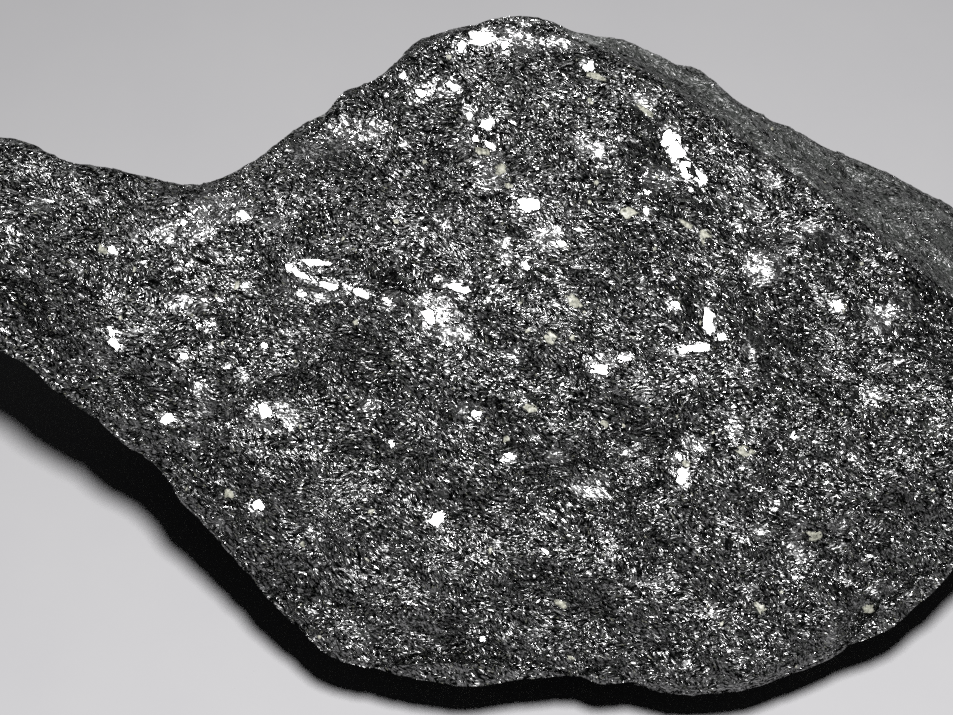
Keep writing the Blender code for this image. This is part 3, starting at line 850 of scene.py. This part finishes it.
def cleaved_hornblende():
    """Hornblende cleaves into bright flat faces. Its tone runs from black to a silvery grey, finely
    streaked along the crystal, and its gloss differs from blade to blade."""
    material, tree, shader = new_material("cleaved hornblende")
    facing, chance, _, gap = felt_of(tree, (CRYSTAL, 0.26, 0.10), BLADE_FIBRES)
    tone = add_node(tree, "ShaderNodeAttribute", {"attribute_name": "tone"}).outputs["Fac"]
    streak = add_node(tree, "ShaderNodeMath", {"operation": "MULTIPLY_ADD"}, input_0=chance["Red"],
                      input_1=STREAKS, input_2=tone).outputs[0]
    tones = (0.0, "#020202"), (0.6, "#0c0d0d"), (1.0, "#3a3d39")
    colour = add_node(tree, "ShaderNodeValToRGB", {"tones": tones}, Fac=streak).outputs["Color"]
    roughness = add_node(tree, "ShaderNodeMapRange", Value=chance["Green"], To_Min=0.16,
                         To_Max=0.42).outputs[0]
    glossy(tree, shader, colour, roughness, facing, gap)
    return material


hornblende = cleaved_hornblende()
for batch in range(BATCHES):
    draw = np.random.default_rng(100 + batch)
    row, column = clear_of_flakes(*scattered(BLADES_IN_BATCH, draw))
    turn = draw.normal(0, TURN, len(row))
    length = np.minimum(BLADE_LENGTH * np.exp(draw.normal(0, LENGTH_SPREAD, len(row))), LONGEST)
    width = BLADE_WIDTH * np.exp(draw.normal(0, WIDTH_SPREAD, len(row)))
    tone = draw.beta(*TONES, len(row))
    name = f"hornblende_blades_{batch + 1}"
    finished(name, blades_mesh(name, row, column, turn, length, width, tone, draw), hornblende)


# ---------------------------------------------------------------- the cleavage flakes
# Here and there a larger hornblende crystal broke along its cleavage and left a clean bright flake, a
# millimetre or two long. The broad face has some sixty that lie just so, and flash white.

FLAKES = 3000
# Median, spread of the logarithm, and limits, of the length and of the width to the length.
FLAKE_LENGTH, FLAKE_LENGTH_SPREAD, FLAKE_LENGTHS = 1.15, 0.35, (0.5, 2.6)
FLAKE_ASPECT, FLAKE_ASPECT_SPREAD, FLAKE_ASPECTS = 0.45, 0.3, (0.2, 0.9)
FLAKE_TURN, FLAKE_LEAN = radians(30), radians(12)
FLAKE_DOME = 0.05  # how far its rim lies below its middle, as a share of its length
FLAKE_LIFT, FLAKE_FLAT = 0.05, 0.5  # how far its middle stands out, and how flat the felt lies on it
WHITE_DOME, WHITE_LIFT = 0.03, 0.14
WHITE_REACH = (1.15, 1.4)  # how much longer and wider a white flake is than its bare middle
EDGE_STEPS, EDGE_BEND = 4, 1 - cos(radians(35))  # flakes keep off edges, where they would stick out
CORNERS, CORNER_SHIFT = 10, 0.25
RIM = (0.6, 1.35)  # the random reach of its corners, in half its length or width
RINGS = ((0.7, 0.4), (1.0, 1.0))  # each ring's share of that reach, and of the drop to the rim
ROOT, ROOT_BY_WIDTH = 0.3, 0.35  # how far it reaches into the rock
RING_FLATNESS = (1.0, 0.6, 0.1)  # at the middle, at the inner ring and at the rim
MAP_RINGS, MAP_ROOT = (0.2, 0.32), 0.49  # how far from the middle of its square of the map each ring lies


def bend_within(steps):
    """How far the surface bends within some steps of each point of its grid: one less the cosine of the
    angle."""
    near = [np.roll(surface_out, shift, axis) for axis in (0, 1) for shift in (-steps, steps)]
    return 1 - np.min([(surface_out * other).sum(-1) for other in near], axis=0)


def lumps_mesh(name, place, out, turn, length, width, dome, tone, flat, chance):
    """Domed lumps with a ragged rim: round a middle two rings of corners at random distances, the inner one
    a little lower and the outer one sunk in the rock, and a point below. Each lies along the lineation,
    turned."""
    count = len(place)
    way = lying(out, turn)
    side = np.cross(out, way)
    shift = chance.uniform(-CORNER_SHIFT, CORNER_SHIFT, (count, CORNERS))
    around = 2 * pi * (np.arange(CORNERS) + shift) / CORNERS
    reach = chance.uniform(*RIM, (count, CORNERS))
    rings = [place[:, None]]
    for share, drop in RINGS:
        x = (share * reach * np.cos(around) * length[:, None] / 2)[..., None]
        y = (share * reach * np.sin(around) * width[:, None] / 2)[..., None]
        sunk = (drop * dome)[:, None, None] * out[:, None]
        rings.append(place[:, None] + x * way[:, None] + y * side[:, None] - sunk)
    rings.append(place[:, None] - out[:, None] * (ROOT + ROOT_BY_WIDTH * width)[:, None, None])
    points = np.concatenate(rings, axis=1)
    points[..., 2] = np.maximum(points[..., 2], LOWEST)
    inner = 1 + np.arange(CORNERS)
    onward = 1 + (inner % CORNERS)
    outer, outer_onward = inner + CORNERS, onward + CORNERS
    middle, root = np.zeros_like(inner), np.full_like(inner, 1 + 2 * CORNERS)
    faces = np.stack([middle, inner, onward, inner, outer, outer_onward,
                      inner, outer_onward, onward, root, outer_onward, outer], axis=-1).reshape(-1, 3)
    angle = 2 * pi * np.arange(CORNERS) / CORNERS
    ring = np.stack([np.cos(angle), np.sin(angle)], axis=-1)
    spots = 0.5 + np.concatenate([[(0, 0)], MAP_RINGS[0] * ring, MAP_RINGS[1] * ring, [(0, 0)]])[faces]
    between = angle + pi / CORNERS  # on the map, the point below lies at another place for each of its faces
    spots[3::4, 0] = 0.5 + MAP_ROOT * np.stack([np.cos(between), np.sin(between)], axis=-1)
    mesh = mesh_of_copies(name, points, faces.reshape(-1), np.full(len(faces), 3), spots.reshape(-1, 2))
    store(mesh, "tone", np.repeat(tone, points.shape[1]))
    store(mesh, "middle", (flat[:, None] * np.repeat(RING_FLATNESS, (1, CORNERS, CORNERS + 1))).reshape(-1))
    mesh.validate()
    return mesh


def flake_hornblende():
    """A clean cleavage face of hornblende: almost a mirror, black where it throws the light elsewhere.
    Towards its ragged rim it goes over into the felt."""
    material, tree, shader = new_material("hornblende flake")
    facing, chance, _, gap = felt_of(tree, (CRYSTAL, 0.23, 0.10), BLADE_FIBRES, flat_in="middle",
                                     flattest=0.96, ragged=5 / 7)
    tone = add_node(tree, "ShaderNodeAttribute", {"attribute_name": "tone"}).outputs["Fac"]
    tones = (0.0, "#050505"), (0.6, "#161817"), (1.0, "#565955")
    colour = add_node(tree, "ShaderNodeValToRGB", {"tones": tones}, Fac=tone).outputs["Color"]
    roughness = add_node(tree, "ShaderNodeMapRange", Value=chance["Green"], To_Min=0.20,
                         To_Max=0.34).outputs[0]
    glossy(tree, shader, colour, roughness, facing, gap)
    return material


draw = np.random.default_rng(7)
row, column = scattered(FLAKES, draw)
level = surface_at(bend_within(EDGE_STEPS)[..., None], row, column)[:, 0] < EDGE_BEND
row, column = row[level], column[level]
white = slice(len(row), None)
row, column = np.append(row, white_row), np.append(column, white_column)
place, out = surface_at(surface, row, column), unit(surface_at(surface_out, row, column))
turn = draw.normal(0, FLAKE_TURN, len(row))
length = np.clip(FLAKE_LENGTH * np.exp(draw.normal(0, FLAKE_LENGTH_SPREAD, len(row))), *FLAKE_LENGTHS)
width = length * np.clip(FLAKE_ASPECT * np.exp(draw.normal(0, FLAKE_ASPECT_SPREAD, len(row))), *FLAKE_ASPECTS)
out = unit(out + FLAKE_LEAN * draw.normal(0, 1, out.shape))
dome, lift, flat = FLAKE_DOME * length, np.full(len(row), FLAKE_LIFT), np.full(len(row), FLAKE_FLAT)
white_length, white_width, white_turn = np.array(WHITE_FLAKES)[:, 2:].T
out[white], turn[white] = white_out, np.radians(white_turn)
length[white], width[white] = WHITE_REACH[0] * white_length, WHITE_REACH[1] * white_width
dome[white], lift[white], flat[white] = WHITE_DOME, WHITE_LIFT, 1.0
lumps = lumps_mesh("cleavage_flakes", place + lift[:, None] * out, out, turn, length, width, dome,
                   draw.beta(*TONES, len(row)), flat, draw)
finished("cleavage_flakes", lumps, flake_hornblende())


# ---------------------------------------------------------------- the feldspar grains
# Between the hornblende sit a few cream grains of plagioclase feldspar, dull where they broke across and
# pearly where they cleaved. They are rounded lumps of half a millimetre, and the largest reach three.

FELDSPARS = 150
FELDSPAR_SIZE, FELDSPAR_SPREAD, FELDSPAR_ASPECTS = 0.45, 0.35, (0.5, 0.9)
FELDSPAR_DOME, FELDSPAR_LIFT = 0.10, 0.10
FELDSPAR_CRYSTAL, FELDSPAR_FIBRE = (0.6, 0.4, 0.4), (0.3, 0.12, 0.12)
CLOUD_WIDTH = 2 / 7
LARGER_REACH = 1.8  # how much longer and wider a larger grain is than its bare middle
# The larger ones on the broad face: along, up the face, length, width.
LARGER_GRAINS = (
    (-0.1, 15.8, 0.9, 0.75), (-1.5, 17.3, 0.8, 0.6), (12.4, 20.7, 1.5, 0.7), (10.7, 12.2, 0.9, 0.8),
    (17.1, 10.7, 1.7, 1.3), (15.6, 11.4, 1.1, 0.4), (7.8, 4.5, 1.1, 0.5), (6.1, 4.8, 1.2, 0.7),
    (-32.8, 9.0, 0.9, 0.8), (20.4, -7.4, 1.7, 0.9), (26.1, -14.5, 1.0, 0.75), (21.6, -20.8, 0.95, 0.8),
    (8.5, -5.1, 0.8, 0.4), (2.5, -4.0, 1.3, 0.6), (5.3, -20.2, 0.8, 0.5), (30.8, -20.8, 1.1, 0.7),
    (3.9, 1.8, 0.75, 0.6), (7.8, 23.7, 1.6, 0.5), (-22.7, -11.0, 0.55, 0.5), (-24.4, -12.5, 0.6, 0.5),
)


def plagioclase():
    """Plagioclase feldspar: cream, faintly green and a little cloudy. Hornblende grows into it, so its rim
    is torn and black flecks show in it."""
    material, tree, shader = new_material("plagioclase feldspar")
    place = add_node(tree, "ShaderNodeTexCoord").outputs["Object"]
    fibres = ((FELDSPAR_FIBRE, 0.25, 0.3, 0.2),)
    facing, _, flat, _ = felt_of(tree, (FELDSPAR_CRYSTAL, 0.3, 0.0), fibres, flat_in="middle",
                                 flattest=1.0, ragged=5 / 9)
    cloud = add_node(tree, "ShaderNodeTexNoise", Vector=place, Scale=1 / (CLOUD_WIDTH * MM), Detail=3.0,
                     Roughness=0.65).outputs["Fac"]
    tones = (0.32, "#54554a"), (0.46, "#a9a99a"), (0.66, "#e2e1d2")
    cream = add_node(tree, "ShaderNodeValToRGB", {"tones": tones}, Fac=cloud).outputs["Color"]
    colour = add_node(tree, "ShaderNodeMix", {"data_type": "RGBA"}, Factor=flat, input_6=linear("#0b0c0b"),
                      input_7=cream).outputs[2]
    tree.links.new(colour, shader.inputs["Base Color"])
    tree.links.new(facing, shader.inputs["Normal"])
    shader.inputs["Roughness"].default_value = 0.4
    shader.inputs["IOR"].default_value = 1.54
    return material


draw = np.random.default_rng(9)
row, column = scattered(FELDSPARS, draw)
larger_row, larger_column = nearest_places(surface, LARGER_GRAINS)
row, column = np.append(row, larger_row), np.append(column, larger_column)
place, out = surface_at(surface, row, column), unit(surface_at(surface_out, row, column))
length = FELDSPAR_SIZE * np.exp(draw.normal(0, FELDSPAR_SPREAD, len(row)))
width = length * draw.uniform(*FELDSPAR_ASPECTS, len(row))
length[FELDSPARS:], width[FELDSPARS:] = LARGER_REACH * np.array(LARGER_GRAINS)[:, 2:].T
turn = draw.uniform(0, pi, len(row))
turn[FELDSPARS:] = 0
lumps = lumps_mesh("feldspar_grains", place + FELDSPAR_LIFT * out, out, turn, length, width,
                   FELDSPAR_DOME * length, np.zeros(len(row)), np.ones(len(row)), draw)
finished("feldspar_grains", lumps, plagioclase())
